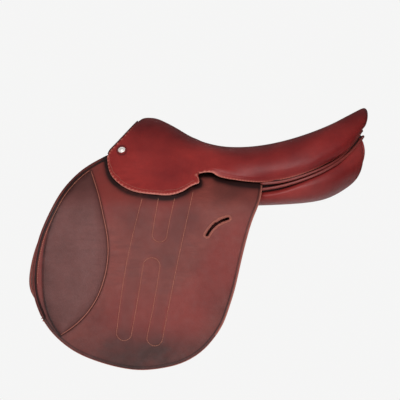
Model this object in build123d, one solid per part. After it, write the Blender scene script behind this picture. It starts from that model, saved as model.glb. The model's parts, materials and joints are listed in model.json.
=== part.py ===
"""English jumping saddle: leather seat, skirts and flaps on a sprung tree, with padded panels.

Frame, in mm: +X runs from the pommel to the cantle, the near (left) side is -Y, +Z is up.
The origin is on the centre plane at the level on which the panels bear.
One side is built at +Y and mirrored.
"""

from build123d import *

import math
import os

# Main sizes
LEATHER = 4.0
COVER = 3.0
FOLD_Y = 150.0
FOLD_Z = 12.0
FLARE = 0.28
SLOPE = 1.05
SIDES = {"right": 1, "left": -1}

# Flap, fold and the layers behind it, as depths below the flap's outer face
FOLD_GAP = 0.6
FLAP_TOP_OUTLINE_FRONT = [(-215, 88), (-238, 80), (-262, 62), (-285, 38), (-306.5, FOLD_Z)]
FLAP_FRONT = [(-306.5, FOLD_Z), (-333, -48), (-347, -112), (-346, -150), (-331, -198)]
FLAP_BOTTOM = [(-331, -198), (-297, -240), (-245, -272), (-155, -292), (-85, -279.5), (-43, -254.5)]
FLAP_REAR = [(-43, -254.5), (-10.7, -212), (10.7, -151), (32, -62), (56, FOLD_Z)]
SLOT_ARC = [(-37.4, -53.4), (-23, -33.8), (0, -24)]
SLOT_WIDTH = 5.0
KNEE_PAD_FRONT = [(-301, 9), (-322, -40), (-333, -110), (-328, -170), (-298, -228)]
KNEE_PAD_REAR = [(-298, -228), (-262, -204), (-231, -163), (-214.5, -85), (-222, -18), (-229, 9)]
KNEE_PAD_RISE = 8.0
BILLET_DEPTH = 8.0
SWEAT_FLAP_DEPTH = 20.0
SWEAT_FLAP_THICK = 3.0

# Skirt: its hinge line and lower edge in side view
HINGE_FRONT = (-208.0, 90.0)
HINGE_REAR = (-50.0, 53.0)
SKIRT_EDGE = [(-208, 90), (-214.5, 78), (-206.5, 53.4), (-181.6, 30.3), (-145, 20.4),
              (-112, 18.7), (-80, 26), (-51.6, 41)]
SKIRT_SPACE_FRONT = 6.0
SKIRT_SPACE_REAR = 10.0
SKIRT_SPACE_LOW = 3.0
SKIRT_GAP = 1.0

# Seat: half sections at stations along X, from the centre line out to the shoulder;
# each ends at the lower edge, which in front of the skirt's rear end is the skirt's hinge line.
SEAT_TOP = {
    -228: [(0, 149), (26, 143), (42, 126), (54, 110)],
    -190: [(0, 151), (30, 145), (47, 128), (62, 107)],
    -139: [(0, 156.6), (32, 150), (56, 127), (76, 101)],
    -85: [(0, 132), (38, 129), (71, 107), (95, 83)],
    -50: [(0, 113), (44, 113), (85, 96), (109, 75)],
    0: [(0, 99), (52, 103.5), (96, 92), (118, 70), (123, 47.5)],
    62: [(0, 97), (68, 107), (111, 92), (128, 68), (127, 41)],
    110: [(0, 102), (78, 117), (118, 100), (134, 72), (132, 45)],
    150: [(0, 111), (76, 130), (115, 110), (130, 82), (127, 59)],
    190: [(0, 128), (66, 146), (98, 126), (110, 100), (106, 78)],
    215: [(0, 146), (52, 160), (80, 140), (88, 115), (83, 98)],
    235: [(0, 164), (34, 172), (56, 155), (60, 138), (55, 125)],
    246: [(0, 171), (18, 173), (31, 165), (33, 152), (29, 140)],
    251: [(0, 169), (9, 169), (15, 166), (17, 161), (15, 155)],
}
FRONT_TOP = (-162.0, 149.5)
FRONT_LOW = (-215.0, 92.6)
FACING = 2.5

# Layers under the seat leather, as depths below its outer face
BASE_DROP = 14.0
FOAM = (3.3, 18.0)
WEB = (18.3, 20.3)
TREE = (20.6, 31.0)
HEAD_PLATE = (31.3, 34.3)

# Panels: closed sections at stations along X, from the top of the gullet wall outward
PANEL = {
    -200: [(40, 56), (50, 60), (62, 56), (104, 17), (136, -40), (129, -62), (99, -38), (60, 20)],
    -150: [(34, 44), (44, 47), (56, 42), (104, 10), (133, -30), (125, -54), (97, -35), (60, 14)],
    -90: [(34, 38), (46, 42), (60, 39), (105, 8), (122, -12), (111, -28), (84, -18), (52, 8)],
    -30: [(37, 38), (60, 40), (86, 36), (108, 16), (113, 2), (98, -6), (68, -2), (44, 8)],
    30: [(37, 30), (62, 33), (90, 31), (114, 20), (118, 8), (98, 0), (64, 0), (42, 8)],
    90: [(37, 28), (66, 32), (100, 31), (125, 26), (130, 15), (108, 3), (68, 1), (42, 9)],
    140: [(38, 38), (68, 45), (100, 45), (126, 41), (132, 28), (112, 10), (70, 4), (42, 14)],
    190: [(36, 58), (60, 68), (86, 69), (104, 66), (111, 50), (96, 28), (64, 19), (40, 28)],
    225: [(26, 84), (42, 94), (58, 97), (70, 93), (76, 77), (66, 54), (46, 42), (29, 52)],
    245: [(16, 96), (24, 109), (34, 112), (42, 107), (46, 90), (41, 73), (31, 64), (20, 74)],
}

# Stirrup bar and its catch
BAR_FRONT = (-152.0, 104.8, 52.0)
BAR_REAR = (-82.0, 110.5, 46.0)
BAR_RADIUS = 4.5
PLATE_X = (-160.0, -72.0)
PLATE_TOP = (57.0, 90.0)
PLATE_FOOT = (80.0, 45.0)
PLATE_THICK = 3.0
PLATE_SLOPE = (PLATE_FOOT[0] - PLATE_TOP[0]) / (PLATE_TOP[1] - PLATE_FOOT[1])
RIVET_X = (-132.0, -92.0)
RIVET_Z = 72.0
PIN_RADIUS = 1.6
PIN_CLEARANCE = 0.05
CATCH_THICK = 4.0
CATCH_LENGTH = 20.0

# Billets: top and bottom centre points in side view
BILLETS = {"front": ((-139, 3), (-184, -232)), "rear": ((-82, 3), (-131, -241))}
BILLET_WIDTH = 25.0
BILLET_THICK = 3.5
HOLE_RADIUS = 2.75
HOLE_COUNT = 8
HOLE_PITCH = 22.0
WEB_X = {"front": (-144.0, -108.0), "rear": (-100.0, -64.0)}


def flap_y(z):
    """Distance of the flap's outer face from the centre plane."""
    return FOLD_Y + FLARE * (FOLD_Z - z)


def top_y(z):
    """The same for the sloping top of the flap, above the fold."""
    return FOLD_Y - SLOPE * (z - FOLD_Z)


def unit_out(slope):
    """Outward normal of a face that leans in by slope for each mm it rises."""
    return Vector(0, 1, slope).normalized()


def side_edges(segments, face_y, shift=Vector()):
    """Edges on a leaning face, from side-view points: lines for pairs, curves for longer lists."""
    edges = []
    for segment in segments:
        points = [Vector(x, face_y(z), z) + shift for x, z in segment]
        if len(points) == 2:
            edges.append(Edge.make_line(points[0], points[1]))
        else:
            edges.append(Edge.make_spline(points))
    return edges


def sheet(segments, face_y, slope, depth, thickness):
    """Flat sheet lying depth below a leaning face."""
    out = unit_out(slope)
    face = Face(Wire(side_edges(segments, face_y, out * -depth)))
    return Solid.extrude(face, out * -thickness)


def skirt_plane():
    """Point and outward normal of the skirt's inner face."""
    front = Vector(HINGE_FRONT[0], top_y(HINGE_FRONT[1]) + SKIRT_SPACE_FRONT, HINGE_FRONT[1])
    rear = Vector(HINGE_REAR[0], top_y(HINGE_REAR[1]) + SKIRT_SPACE_REAR, HINGE_REAR[1])
    low = Vector(-112, top_y(18.7) + SKIRT_SPACE_LOW, 18.7)
    normal = (low - front).cross(rear - front).normalized()
    if normal.Y < 0:
        normal = normal * -1
    return front, rear, normal


def hinge_ends():
    """Ends of the skirt's hinge line, on its outer face."""
    front, rear, normal = skirt_plane()
    return front + normal * LEATHER, rear + normal * LEATHER


def hinge_point(x):
    """Half width and height of the hinge line at x."""
    front, rear = hinge_ends()
    point = front + (rear - front) * ((x - front.X) / (rear.X - front.X))
    return point.Y, point.Z


def half_section(x):
    """Seat half section with its lower edge point."""
    points = list(SEAT_TOP[x])
    if len(points) == 4:
        points.append(hinge_point(x))
    return points


def inset_points(points, depth):
    """Half section shrunk about the middle of its base by depth, with its edge carried down."""
    half, low = points[-1]
    top = points[0][1]
    across = (half - depth) / half
    upward = (top - low - depth) / (top - low)
    moved = [(y * across, low + (z - low) * upward) for y, z in points]
    return moved + [(moved[-1][0] + 1, low - BASE_DROP)]


def seat_loft(depth, last=260.0):
    """Solid under the seat's outer face moved in by depth, from the pommel to the last station."""
    sections = []
    for x in sorted(SEAT_TOP):
        if x > last:
            continue
        points = inset_points(half_section(x), depth)
        right = [Vector(x, y, z) for y, z in points]
        left = [Vector(x, -y, z) for y, z in points[1:]]
        arch = Edge.make_spline(right[::-1] + left)
        base = Edge.make_line(left[-1], right[-1])
        sections.append(Wire([arch, base]))
    return Solid.make_loft(sections, ruled=True)


def below_edge(lift):
    """Everything lower than the seat's edge raised by lift."""
    sections = []
    for x in sorted(SEAT_TOP):
        top = half_section(x)[-1][1] + lift
        ring = [(x, 250, top), (x, -250, top), (x, -250, -300), (x, 250, -300)]
        sections.append(Wire.make_polygon(ring))
    return Solid.make_loft(sections, ruled=True)


def block(x, y, z):
    """Box from three (low, high) pairs."""
    size = [high - low for low, high in (x, y, z)]
    centre = [(high + low) / 2 for low, high in (x, y, z)]
    return Pos(*centre) * Box(*size)


def front_cut(behind):
    """Everything in front of the pommel's sloping front, moved back by behind."""
    run = FRONT_TOP[0] - FRONT_LOW[0]
    rise = FRONT_TOP[1] - FRONT_LOW[1]
    back = Vector(rise, 0, -run).normalized()
    middle = Vector((FRONT_TOP[0] + FRONT_LOW[0]) / 2, 0, (FRONT_TOP[1] + FRONT_LOW[1]) / 2)
    place = Plane(origin=middle + back * behind, x_dir=(0, 1, 0), z_dir=back * -1)
    return place * (Pos(0, 0, 100) * Box(500, 500, 200))


def layer(depths, lift, last, behind):
    """Curved shell between two depths below the seat's outer face."""
    shell = seat_loft(depths[0], last) - seat_loft(depths[1], last)
    return shell - below_edge(lift) - front_cut(behind)


def make_seat_cover():
    """Seat leather, closed at the cantle tip."""
    shell = seat_loft(0) - seat_loft(COVER, 246)
    return shell - below_edge(0) - front_cut(FACING)


def make_pommel_facing():
    """Narrow facing on the sloping front of the pommel."""
    ring = seat_loft(1.0, 0) - seat_loft(16.0, 0) - below_edge(0)
    return (ring - front_cut(0)) & front_cut(FACING - 0.1)


def make_seat_foam():
    """Foam from behind the head to the cantle."""
    return layer(FOAM, 10, 235, 14)


def plan_ring():
    """Tall prism of the tree's outline seen from above, with its open middle."""
    outside = Spline((-230, 0), (-200, 110), (0, 84), (110, 112), (190, 84), (222, 0))
    inside = Spline((-140, 0), (-120, 30), (0, 52), (110, 74), (160, 46), (176, 0))
    outer = make_face(Wire([outside.edge(), mirror(outside, Plane.XZ).edge()]))
    inner = make_face(Wire([inside.edge(), mirror(inside, Plane.XZ).edge()]))
    return extrude(outer, 300, both=True) - extrude(inner, 300, both=True)


def leaning_plate(x, top, foot, thickness):
    """Plate between two lines parallel to X, given as (y, z), thickened inward."""
    corners = [(x[0], *top), (x[1], *top), (x[1], *foot), (x[0], *foot)]
    slope = (foot[0] - top[0]) / (top[1] - foot[1])
    return Solid.extrude(Face(Wire.make_polygon(corners)), unit_out(slope) * -thickness)


def plate_y(z):
    """Distance of the bar plate's outer face from the centre plane."""
    return PLATE_TOP[0] + PLATE_SLOPE * (PLATE_TOP[1] - z)


def rivets():
    """Round-headed rivets that hold the stirrup bar to the rail."""
    out = unit_out(PLATE_SLOPE)
    made = []
    for x in RIVET_X:
        place = Plane(origin=(x, plate_y(RIVET_Z), RIVET_Z), z_dir=out)
        shank = Pos(0, 0, -5.5) * Cylinder(3, 11)
        head = Cone(5, 3.5, 2, align=(Align.CENTER, Align.CENTER, Align.MIN))
        made.append(place * (shank + head))
    return made


def make_tree():
    """Wooden tree: curved frame, points in front and a flat rail behind each stirrup bar."""
    frame = layer(TREE, 10, 215, 5) & plan_ring()
    inward = unit_out(PLATE_SLOPE) * -(PLATE_THICK + 0.05)
    rail = leaning_plate((-160, -66), (plate_y(125), 125), (plate_y(51), 51), 8)
    rail = rail.moved(Location(inward)) & seat_loft(TREE[0] + 1)
    point_top = [[(-208, 116), (-172, 116)], [(-172, 116), (-184, 30)]]
    point_low = [[(-184, 30), (-193, 23), (-203, 30)], [(-203, 30), (-208, 116)]]
    point = sheet(point_top + point_low, top_y, SLOPE, 5.5, 8) & seat_loft(TREE[0] + 1)
    side = rail + point
    tree = frame + side + mirror(side, Plane.XZ) - front_cut(5) - make_head_plate()
    for rivet in rivets():
        tree = tree - rivet - mirror(rivet, Plane.XZ)
    return tree


def make_head_plate():
    """Steel arch under the tree's head."""
    return layer(HEAD_PLATE, 10, 150, 7) & block((-205, -166), (-200, 200), (0, 200))


def make_seat_webs():
    """Webs stretched across the open middle of the tree."""
    shell = layer(WEB, 10, 215, 14)
    bands = block((30, 75), (-200, 200), (0, 200)) + block((95, 140), (-200, 200), (0, 200))
    return shell & bands


def make_girth_web(x):
    """Web over the tree that carries the billets on both sides."""
    return layer(WEB, 4, 215, 14) & block(x, (-200, 200), (0, 200))


def make_web_tail(x):
    """Lower end of a girth web, down to the billets."""
    return leaning_plate(x, (77, 62), (140.5, -2), 2.5)


def make_cantle_facing():
    """Leather band under the seat's edge, round the cantle."""
    sections = []
    for x in (62, 110, 150, 190, 215, 235):
        y, z = half_section(x)[-1]
        y = y - 8
        ring = [(x, y, z - 0.5), (x, -y, z - 0.5), (x, -y, z - 6.5), (x, y, z - 6.5)]
        sections.append(Wire.make_polygon(ring))
    return Solid.make_loft(sections, ruled=True)


def piping(points, radius):
    """Round cord through points on the +Y side, mirrored round the cantle."""
    path = [Vector(*p) for p in points]
    path = path + [Vector(p.X, -p.Y, p.Z) for p in path[-2::-1]]
    spine = Edge.make_spline(path)
    start = Plane(origin=spine @ 0, z_dir=spine % 0)
    return sweep(start * Circle(radius), path=spine)


def make_cantle_welt():
    """Welt under the seat's lower edge from the waist round the cantle."""
    edge = [(x, *half_section(x)[-1]) for x in (62, 110, 150, 190, 215, 235)]
    points = [(x, y - 1.5, z - 3) for x, y, z in edge] + [(248, 0, 132)]
    return piping(points, 2.4)


def make_panel_welt():
    """Welt along the top outer edge of the panels round the cantle."""
    points = [(60, 120, 26), (110, 129, 35), (150, 128, 49), (190, 108, 68)]
    points = points + [(217, 82, 90), (238, 50, 112), (250, 0, 122)]
    return piping(points, 2.4)


def make_panel():
    """Panel cushion of one side, with the gullet wall nearest the centre."""
    sections = []
    for x, points in PANEL.items():
        corners = [Vector(x, y, z) for y, z in points]
        outer = Edge.make_spline(corners[:6])
        inner = Edge.make_spline(corners[5:] + corners[:1])
        sections.append(Wire([outer, inner]))
    return Solid.make_loft(sections, ruled=True)


def make_saddle_nail():
    """Head nail at the pommel with its round domed head."""
    out = Vector(0, 0.7, 0.71).normalized()
    place = Plane(origin=(-190, 73, 98.5), z_dir=out)
    head = Cylinder(6.3, 1.6, align=(Align.CENTER, Align.CENTER, Align.MIN))
    ring = Pos(0, 0, 1.6) * Cone(4.2, 3.2, 0.9, align=(Align.CENTER, Align.CENTER, Align.MIN))
    shank = Cylinder(1.2, 3, align=(Align.CENTER, Align.CENTER, Align.MAX))
    return place * (head + ring + shank)


def make_flap_top():
    """Fixed upper part of the flap, notched for the stirrup bar."""
    low = FOLD_Z + FOLD_GAP / 2
    front = FLAP_TOP_OUTLINE_FRONT[:-1] + [(FLAP_TOP_OUTLINE_FRONT[-1][0], low)]
    rear_top = (47, 44)
    outline = [front[::-1], [front[0], (-180, 74)], [(-180, 74), (-176, 34)],
               [(-176, 34), (-58, 34)], [(-58, 34), (-54, 46)],
               [(-54, 46), (-20, 57), (0, 52), rear_top], [rear_top, (56, low)],
               [(56, low), front[-1]]]
    under_fold = block((-400, 100), (0, 300), (-50, low))
    return sheet(outline, top_y, SLOPE, 0, LEATHER) - under_fold


def make_flap():
    """Lower flap that lifts, with the curved keeper slot."""
    high = FOLD_Z - FOLD_GAP / 2
    front = [(FLAP_FRONT[0][0], high)] + FLAP_FRONT[1:]
    rear = FLAP_REAR[:-1] + [(FLAP_REAR[-1][0], high)]
    outline = [front + FLAP_BOTTOM[1:-1] + rear, [rear[-1], front[0]]]
    flap = sheet(outline, flap_y, FLARE, 0, LEATHER)
    arc = Edge.make_three_point_arc(*[Vector(x, 0, z) for x, z in SLOT_ARC])
    slot = Plane.XZ * SlotArc(Plane.XZ.to_local_coords(arc), SLOT_WIDTH)
    return flap - extrude(slot, 300, both=True)


def make_knee_pad():
    """Padded insert on the front of the flap."""
    out = unit_out(FLARE)
    segments = [KNEE_PAD_FRONT, KNEE_PAD_REAR, [KNEE_PAD_REAR[-1], KNEE_PAD_FRONT[0]]]
    face = Face(Wire(side_edges(segments, flap_y, out * 0.05)))
    return Solid.extrude(face, out * KNEE_PAD_RISE)


def make_sweat_flap():
    """Under flap between the panel and the billets."""
    front = [(-303, -1), (-324, -36), (-343, -80), (-350, -112), (-348, -150), (-340, -166)]
    low = [(-340, -166), (-316, -205), (-250, -258), (-155, -276), (-80, -262), (-30, -215)]
    rear = [(-30, -215), (0, -140), (22, -60), (36, -1)]
    outline = [front, low, rear, [rear[-1], front[0]]]
    return sheet(outline, flap_y, FLARE, SWEAT_FLAP_DEPTH, SWEAT_FLAP_THICK)


def make_knee_block():
    """Firm block on the under flap behind the knee pad."""
    front = [(-303, 2), (-328, -40), (-351.5, -112), (-348.5, -155), (-340, -166)]
    rear = [(-300, -166), (-296, -112), (-282, -40), (-268, 2)]
    outline = [front, [front[-1], rear[0]], rear, [rear[-1], front[0]]]
    return sheet(outline, flap_y, FLARE, 6, 13.5)


def bar_axes():
    """Frame of the stirrup bar: x along the bar, z outward."""
    along = (Vector(*BAR_REAR) - Vector(*BAR_FRONT)).normalized()
    out = unit_out(SLOPE)
    out = (out - along * out.dot(along)).normalized()
    return Plane(origin=BAR_FRONT, x_dir=along, z_dir=out)


def bar_length():
    """Length of the bar from the arm to the pin of its catch."""
    return (Vector(*BAR_REAR) - Vector(*BAR_FRONT)).length


def make_stirrup_bar():
    """Forged bar open to the rear, on a plate riveted to the tree."""
    plate = leaning_plate(PLATE_X, PLATE_TOP, PLATE_FOOT, PLATE_THICK) & seat_loft(TREE[1] + 0.5)
    start = Vector(*BAR_FRONT)
    arm = Plane(origin=start, z_dir=(0, -1, 0)) * Pos(0, 0, 15) * Cylinder(BAR_RADIUS, 30)
    elbow = Pos(*BAR_FRONT) * Sphere(BAR_RADIUS)
    length = bar_length()
    place = bar_axes()
    rod = Pos(length / 2 - 4, 0, 0) * Rot(0, 90, 0) * Cylinder(BAR_RADIUS, length - 8)
    end = Pos(length - 2.5, 0, 0) * Box(15, 9, 9)
    slot = Pos(length + 2, 0, 0) * Box(15, 12, CATCH_THICK + 0.4)
    hole = Pos(length, 0, 0) * Cylinder(PIN_RADIUS, 20)
    bar = plate + arm + elbow + place * (rod + end - slot - hole)
    for rivet in rivets():
        bar = bar - rivet
    return bar


def make_catch_pin():
    """Pin of the catch, held in the bar's fork."""
    return bar_axes() * Pos(bar_length(), 0, 0) * Cylinder(PIN_RADIUS, 9.6)


def make_bar_catch():
    """Thumb catch in the end of the bar, lying in line with it."""
    tongue = Pos(CATCH_LENGTH / 2, 0, 0) * Box(CATCH_LENGTH, 7, CATCH_THICK)
    tongue = tongue + Cylinder(3.5, CATCH_THICK)
    tip = Pos(CATCH_LENGTH, 0, 0) * Cylinder(4.2, CATCH_THICK)
    catch = tongue + tip - Cylinder(PIN_RADIUS + PIN_CLEARANCE, 20)
    return bar_axes() * Pos(bar_length(), 0, 0) * catch


def billet_frame(top, foot):
    """Frame of a billet: x across, y up the strap, z outward."""
    out = unit_out(FLARE)
    head = Vector(top[0], flap_y(top[1]), top[1]) - out * BILLET_DEPTH
    tail = Vector(foot[0], flap_y(foot[1]), foot[1]) - out * BILLET_DEPTH
    up = (head - tail).normalized()
    return Plane(origin=head, x_dir=up.cross(out), z_dir=out), (head - tail).length


def make_billet(top, foot):
    """Punched girth strap with a pointed end."""
    place, length = billet_frame(top, foot)
    half = BILLET_WIDTH / 2
    right = Polyline((0, -length), (half - 4, -length + 10), (half, -length + 20), (half, 0))
    outline = make_face([*right.edges(), *mirror(right, Plane.YZ).edges(),
                         Edge.make_line((half, 0), (-half, 0))])
    strap = extrude(outline, -BILLET_THICK)
    for i in range(HOLE_COUNT):
        strap -= Pos(0, -length + 30 + i * HOLE_PITCH, 0) * Cylinder(HOLE_RADIUS, 20)
    return place * strap


def make_skirt():
    """Skirt over the stirrup bar, hung on the hinge line."""
    front, rear, normal = skirt_plane()
    down = (rear - front).cross(normal).normalized()
    if down.Z > 0:
        down = down * -1

    def on_face(x, z):
        y = front.Y - (normal.X * (x - front.X) + normal.Z * (z - front.Z)) / normal.Y
        return Vector(x, y, z)

    lower = Edge.make_spline([on_face(x, z) for x, z in SKIRT_EDGE])
    notch = Edge.make_line(on_face(-51.6, 41), on_face(-54, 47))
    step = Edge.make_line(on_face(-54, 47), on_face(*HINGE_REAR))
    face = Face(Wire([lower, notch, step, Edge.make_line(rear, front)]))
    skirt = Solid.extrude(face, normal * LEATHER)
    middle = (front + rear) / 2
    above = Plane(origin=middle + down * SKIRT_GAP, x_dir=rear - front, z_dir=down * -1)
    return skirt - above * (Pos(0, 0, 50) * Box(500, 200, 100))


def save(name, shape):
    """One STEP file per node."""
    print(name, len(shape.solids()), round(sum(s.volume for s in shape.solids())))
    export_step(shape, f"parts/{name}.step")


def joined(shapes):
    """Separate solids in one node."""
    solids = [solid for shape in shapes for solid in shape.solids()]
    return Compound(children=solids)


def save_pair(name, shape):
    """The +Y piece and its mirror image as two nodes."""
    save(f"{name}_right", shape)
    save(f"{name}_left", mirror(shape, Plane.XZ))


def both(shape):
    """A piece and its mirror image."""
    return joined([shape, mirror(shape, Plane.XZ)])


def main():
    os.makedirs("parts", exist_ok=True)
    save("seat_cover", make_seat_cover())
    save("pommel_facing", make_pommel_facing())
    save("seat_foam", make_seat_foam())
    save("tree_frame", make_tree())
    save("head_plate", make_head_plate())
    save("seat_webs", make_seat_webs())
    for place, x in WEB_X.items():
        save(f"girth_web_{place}", make_girth_web(x))
        save(f"web_tails_{place}", both(make_web_tail(x)))
    save("cantle_facing", make_cantle_facing())
    save("cantle_welt", make_cantle_welt())
    save("panel_welt", make_panel_welt())
    save("saddle_nails", both(make_saddle_nail()))
    save("bar_rivets", joined([*rivets(), *[mirror(r, Plane.XZ) for r in rivets()]]))
    save("catch_pins", both(make_catch_pin()))
    save_pair("panel", make_panel())
    save_pair("flap_top", make_flap_top())
    save_pair("flap", make_flap())
    save_pair("knee_pad", make_knee_pad())
    save_pair("sweat_flap", make_sweat_flap())
    save_pair("knee_block", make_knee_block())
    save_pair("skirt", make_skirt())
    save_pair("stirrup_bar", make_stirrup_bar())
    save_pair("bar_catch", make_bar_catch())
    for place, (top, foot) in BILLETS.items():
        save_pair(f"billet_{place}", make_billet(top, foot))


main()
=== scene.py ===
"""Looks of the english jumping saddle: smooth leather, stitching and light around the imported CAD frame.

Sizes are in metres, except where a comment says mm. Side pieces are built at +Y and mirrored.
"""

import json
import math

import bpy
import numpy as np
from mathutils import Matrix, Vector
from numpy.linalg import norm


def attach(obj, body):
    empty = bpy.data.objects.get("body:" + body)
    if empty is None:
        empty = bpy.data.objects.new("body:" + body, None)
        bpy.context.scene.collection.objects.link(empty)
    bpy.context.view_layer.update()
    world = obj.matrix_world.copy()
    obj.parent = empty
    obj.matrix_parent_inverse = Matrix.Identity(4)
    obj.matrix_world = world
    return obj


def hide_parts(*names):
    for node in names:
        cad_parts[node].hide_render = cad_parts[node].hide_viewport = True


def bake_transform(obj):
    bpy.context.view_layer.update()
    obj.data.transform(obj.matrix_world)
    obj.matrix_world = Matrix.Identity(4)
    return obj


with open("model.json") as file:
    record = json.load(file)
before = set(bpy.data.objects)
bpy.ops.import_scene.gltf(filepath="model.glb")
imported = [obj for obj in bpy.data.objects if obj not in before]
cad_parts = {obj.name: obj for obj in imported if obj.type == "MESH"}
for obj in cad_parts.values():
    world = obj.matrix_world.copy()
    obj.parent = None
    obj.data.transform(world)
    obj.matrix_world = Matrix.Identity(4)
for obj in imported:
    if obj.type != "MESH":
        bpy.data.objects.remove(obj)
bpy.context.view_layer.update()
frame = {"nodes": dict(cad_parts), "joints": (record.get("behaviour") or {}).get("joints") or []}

# Flap: its outer face's place at the fold, its lean below and above the fold, and the fold's reach
FOLD_Y = 0.150
FOLD_Z = 0.012
FLARE = 0.28
SLOPE = 1.05
FOLD_SOFT = 0.008
BELOW_FOLD = -0.1
SIDES = {"right": 1.0, "left": -1.0}

# Thicknesses, and the depths of the layers behind the flap
FLAP_LEATHER = 0.0032
SEAT_LEATHER = 0.0032
RIM_BULGE = 0.32
UNDER_LEATHER = 0.0028
UNDER_DEPTH = 0.0202
BLOCK_THICK = 0.0125
BLOCK_DEPTH = 0.0064
PAD_LEATHER = 0.0012
PAD_RISE = 0.0074
PAD_RECESS = 0.0018
PAD_SEWN = 0.004
PANEL_BULGE = 0.009
WELT_RADIUS = 0.0026
FACING_DEPTH = 0.003

# Stitches, and distances of seams, creases and beads from the edge or line that they follow
STITCH_PITCH = 0.0033
STITCH_LENGTH = 0.0024
THREAD = 0.00055
SKIRT_SEAM = 0.0062
# SKIRT_SHADE: how far below the skirt's edge the shadow painted on the flap lies
SKIRT_SHADE = 0.0045
EDGE_CREASE = 0.0042
FRONT_BEAD = 0.0028
FRONT_CREASE = 0.0056
FRONT_SEAM = 0.0088
SLOT_RADIUS = 0.0031
SLOT_LIP = SLOT_RADIUS + 0.0012
SLOT_SEAM = 0.0058

# Notch at the skirt's rear end, and the head nail with the radius of the shade painted round it and its
# profile as (radius, height)
NOTCH_X = -0.056
NOTCH_TOP = 0.05
NAIL_X = -0.190
NAIL_Z = 0.098
NAIL_SHADE = 0.0082
NAIL_PROFILE = [(0.0068, -0.0016), (0.0068, 0.0003), (0.0062, 0.0012), (0.0048, 0.0016), (0.0042, 0.0011),
                (0.0036, 0.0015), (0.0022, 0.0022), (0.0008, 0.0024)]

# Camera, floor and cloth steps
CAMERA_AWAY = 14.0
VIEW_WIDTH = 0.712
FLOOR_Z = -0.42
CLOTH_STEPS = 20


def rib_at(x, *points):
    """Control rib whose (y, z) points all lie at one x."""
    return [(x, y, z) for y, z in points]


# Seat half with its skirt, in mm: ribs from the centre line to the lower edge, pommel to cantle
SEAT_RIBS = [
    [(-162, 0, 149.5), (-165, 25, 146.3), (-174, 44, 136.7),
     (-188, 58, 121.6), (-203, 70, 105.6), (-212, 78, 95), (-215.5, 83, 86)],
    [(-154, 0, 155), (-157, 28, 150.5), (-166, 48, 136.5),
     (-179, 64, 117), (-194, 78, 96), (-207, 91, 79), (-213.5, 96, 67)],
    [(-146, 0, 157), (-149, 30, 151.5), (-157, 52, 136),
     (-168, 69, 115), (-181, 86, 92), (-196, 104, 66), (-205, 115, 50)],
    [(-139, 0, 157), (-141, 31, 151), (-147, 55, 135),
     (-156, 75, 111), (-167, 94, 86), (-177, 115, 56), (-184, 132.5, 33)],
    [(-128, 0, 155.5), (-129, 32, 149.5), (-133, 57, 133),
     (-139, 79, 106), (-147, 100, 78), (-154, 124, 45), (-158, 142, 24)],
    [(-112, 0, 149), (-112, 34, 144), (-115, 61, 127),
     (-119, 84, 100), (-124, 105, 73), (-128, 128, 42), (-130, 145, 20.7)],
    [(-95, 0, 140), (-95, 37, 135.5), (-96, 66, 118), (-98, 90, 92),
     (-100, 110, 67), (-102, 131, 39), (-103, 145, 19.7)],
    rib_at(-78, (0, 129.5), (40, 126.5), (72, 110), (97, 85), (114, 63), (132, 40), (141.5, 28.3)),
    [(-63, 0, 120.5), (-63, 43, 119), (-63, 78, 103),
     (-62, 102, 80), (-61, 117, 62), (-60, 129, 46), (-59, 134.7, 38.5)],
    [(-56, 0, 117), (-56, 44, 116.5), (-56, 80.6, 100.8),
     (-55, 103.8, 78.3), (-54, 117, 62), (-53, 125, 51), (-51, 130, 44)],
    [(-51, 0, 114.5), (-51, 45, 114.5), (-51, 82.4, 99.3), (-51, 105, 77.2),
     (-51.5, 116, 64), (-53.5, 120.5, 57.5), (-56.5, 123, 53.5)],
    [(-44, 0, 111.5), (-44, 46, 112), (-44, 85, 97.5), (-44, 107, 76),
     (-43, 115.5, 66.5), (-42, 119.5, 62.5), (-41, 121.5, 60)],
    rib_at(-20, (0, 104), (48, 106.5), (91, 94), (113, 74), (121, 66), (124, 58.5), (125, 54)),
    rib_at(12, (0, 99), (52, 103.5), (97, 91.5), (117, 72), (123.5, 60), (126, 51), (125.5, 45.5)),
    rib_at(62, (0, 97), (65, 107), (109, 93), (127, 72), (131, 58), (130.5, 47), (128, 41)),
    rib_at(105, (0, 101), (78, 116), (117, 100), (133, 77), (136.5, 64), (135, 54), (132, 47.5)),
    rib_at(145, (0, 109.5), (78, 128.5), (117, 111), (132, 86), (134.5, 75), (132, 65.5), (128, 60)),
    [(178, 0, 121), (178, 71, 141.5), (179, 105, 124),
     (179, 119, 99), (179, 119.5, 87), (178, 116, 79), (177, 111, 74.5)],
    [(198, 0, 134), (202, 60, 152.5), (206, 88, 133),
     (208, 101, 110), (208, 98.5, 99), (207, 95, 93.5), (204, 89, 90)],
    [(218, 0, 148), (222, 46, 163), (225, 68, 146),
     (227, 77, 127), (227, 75, 117), (225, 70, 111), (221, 65, 107)],
    [(234, 0, 163), (238, 28, 171), (242, 45, 159),
     (243, 51, 145), (241, 50, 137), (238, 46, 131), (235, 42, 127)],
    [(246, 0, 173), (247, 14, 173.5), (250, 24, 166),
     (251, 28, 154), (248, 28, 144), (244, 26, 138), (241, 24, 134)],
    [(249, 0, 173), (250.5, 4, 171), (252, 8, 165), (251.5, 10, 154),
     (248.5, 10, 144), (244.5, 9, 138), (241.5, 8, 134.5)],
    [(249.3, 0, 172.8), (251, 0, 170.5), (252.3, 0, 165),
     (251.8, 0, 154), (248.8, 0, 144), (244.8, 0, 138), (241.8, 0, 134.6)],
]

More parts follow.
